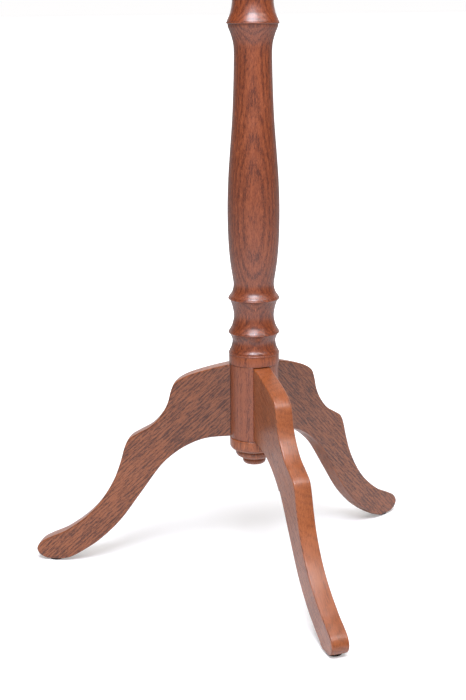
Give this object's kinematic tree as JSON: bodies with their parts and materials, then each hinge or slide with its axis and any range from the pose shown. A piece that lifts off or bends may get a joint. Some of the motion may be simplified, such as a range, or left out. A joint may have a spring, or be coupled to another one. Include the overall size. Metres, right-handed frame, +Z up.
{
  "type": "tilt top table",
  "caption": "Pedestal table with a turned column, sawn cabriole legs and a round top that tips up on pins and locks with a sprung bolt.",
  "frame": {"origin": "on the floor, under the column's axis, with the top down", "axes": "+Z up along the column; the front leg points along -Y and the top's hinge lies on the +Y side of the column, parallel to X"},
  "size_m": [0.62, 0.62, 0.7226],
  "materials": {
    "polished_wood": "red-brown stain under a satin polish",
    "secondary_wood": "plain oiled wood",
    "felt": "dark felt",
    "steel": "plain, slightly dulled",
    "brass": "satin brass"
  },
  "bodies": {
    "stand": {"column": "polished_wood", "leg_front": "polished_wood", "leg_rear_left": "polished_wood", "leg_rear_right": "polished_wood", "base_drop": "polished_wood", "foot_pad_front": "felt", "foot_pad_rear_left": "felt", "foot_pad_rear_right": "felt", "tilt_block": "secondary_wood", "tenon_wedge": "secondary_wood", "pivot_pin_left": "steel", "pivot_pin_right": "steel", "strike_plate": "brass", "strike_screw_left": "brass", "strike_screw_right": "brass"},
    "top": {"tabletop": "polished_wood", "bearer_left": "secondary_wood", "bearer_right": "secondary_wood", "bearer_screw_left_front": "steel", "bearer_screw_left_middle": "steel", "bearer_screw_left_rear": "steel", "bearer_screw_right_front": "steel", "bearer_screw_right_middle": "steel", "bearer_screw_right_rear": "steel", "catch_plate": "brass", "catch_case": "brass", "catch_screw_left_front": "brass", "catch_screw_left_rear": "brass", "catch_screw_right_front": "brass", "catch_screw_right_rear": "brass", "catch_spring": "steel"},
    "bolt": {"catch_bolt": "brass", "catch_knob": "brass"}
  },
  "joints": [
    {"name": "top_tilt", "type": "hinge", "parent": "stand", "child": "top", "pos_m": [0, 0.07, 0.6923], "axis": [-1, 0, 0], "range_deg": [0, 90]},
    {"name": "catch_slide", "type": "slide", "parent": "top", "child": "bolt", "axis": [0, -1, 0], "range_m": [0, 0.008], "stiffness_N_per_m": 150, "deforming": ["catch_spring"]}
  ]
}
